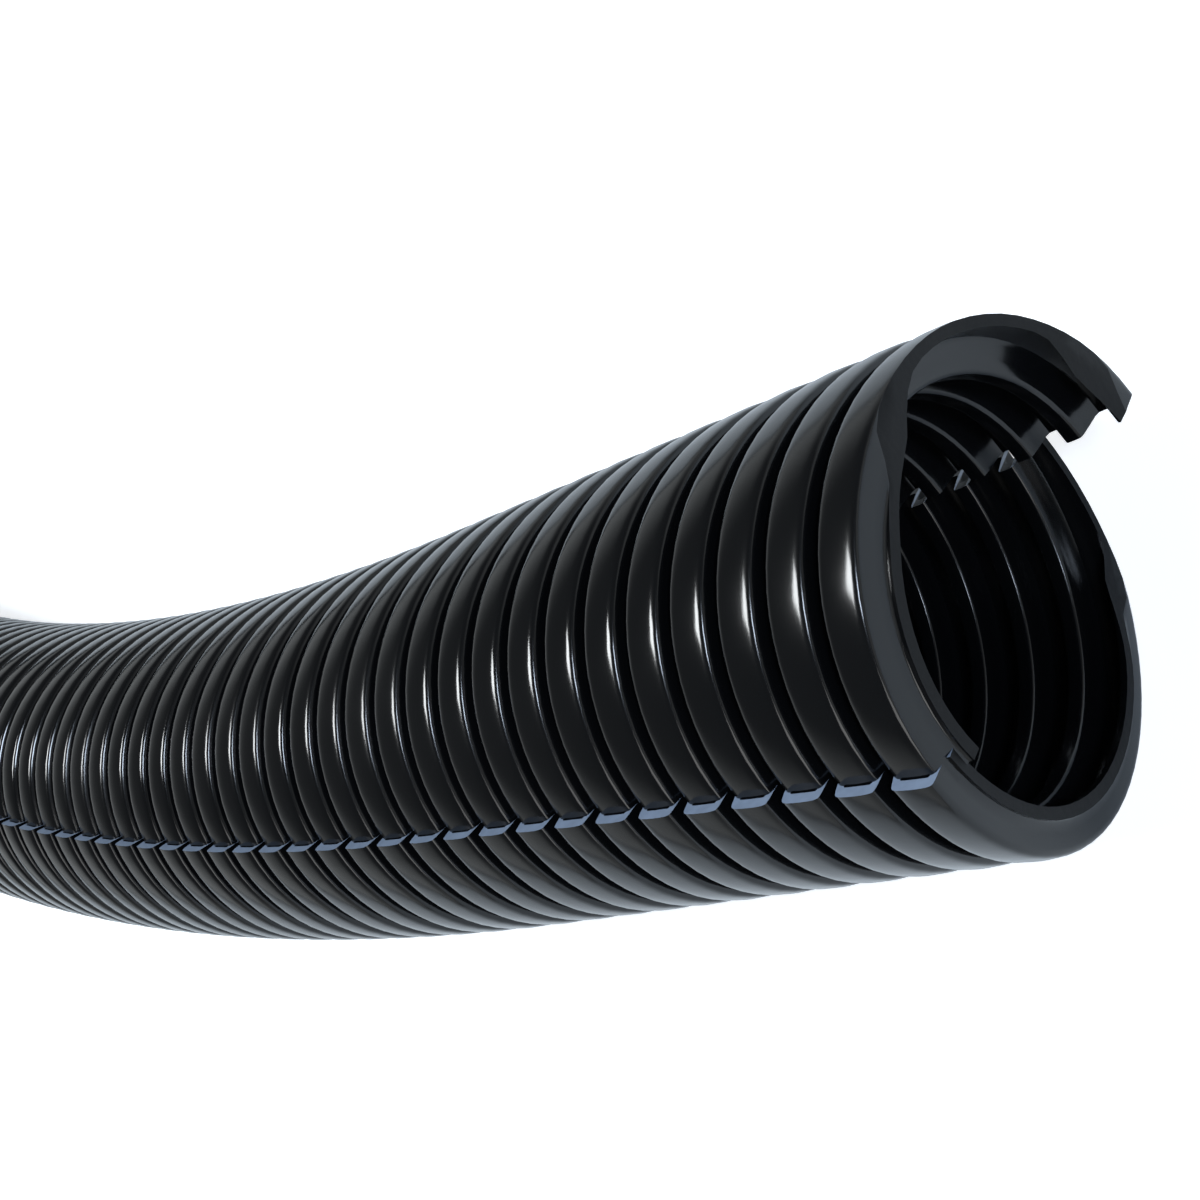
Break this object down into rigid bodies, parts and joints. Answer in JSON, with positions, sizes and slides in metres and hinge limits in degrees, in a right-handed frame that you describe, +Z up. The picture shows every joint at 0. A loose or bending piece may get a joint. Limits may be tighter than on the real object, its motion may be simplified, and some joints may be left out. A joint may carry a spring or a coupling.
{
  "type": "split corrugated conduit",
  "caption": "Corrugated cable conduit of two black plastic half shells, lapped along one seam and open along the other, lying in a gentle bend.",
  "frame": {"origin": "centre of the tube's mouth, on its axis, at the first ring", "axes": "+X out of the mouth along the axis, +Z up from the surface that the tube lies on, +Y the side that the tube bends to"},
  "size_m": [0.7331, 0.5948, 0.0546],
  "materials": {
    "black_plastic": "gloss"
  },
  "bodies": {
    "root": {"outer_half": "black_plastic", "inner_half": "black_plastic"}
  },
  "joints": []
}
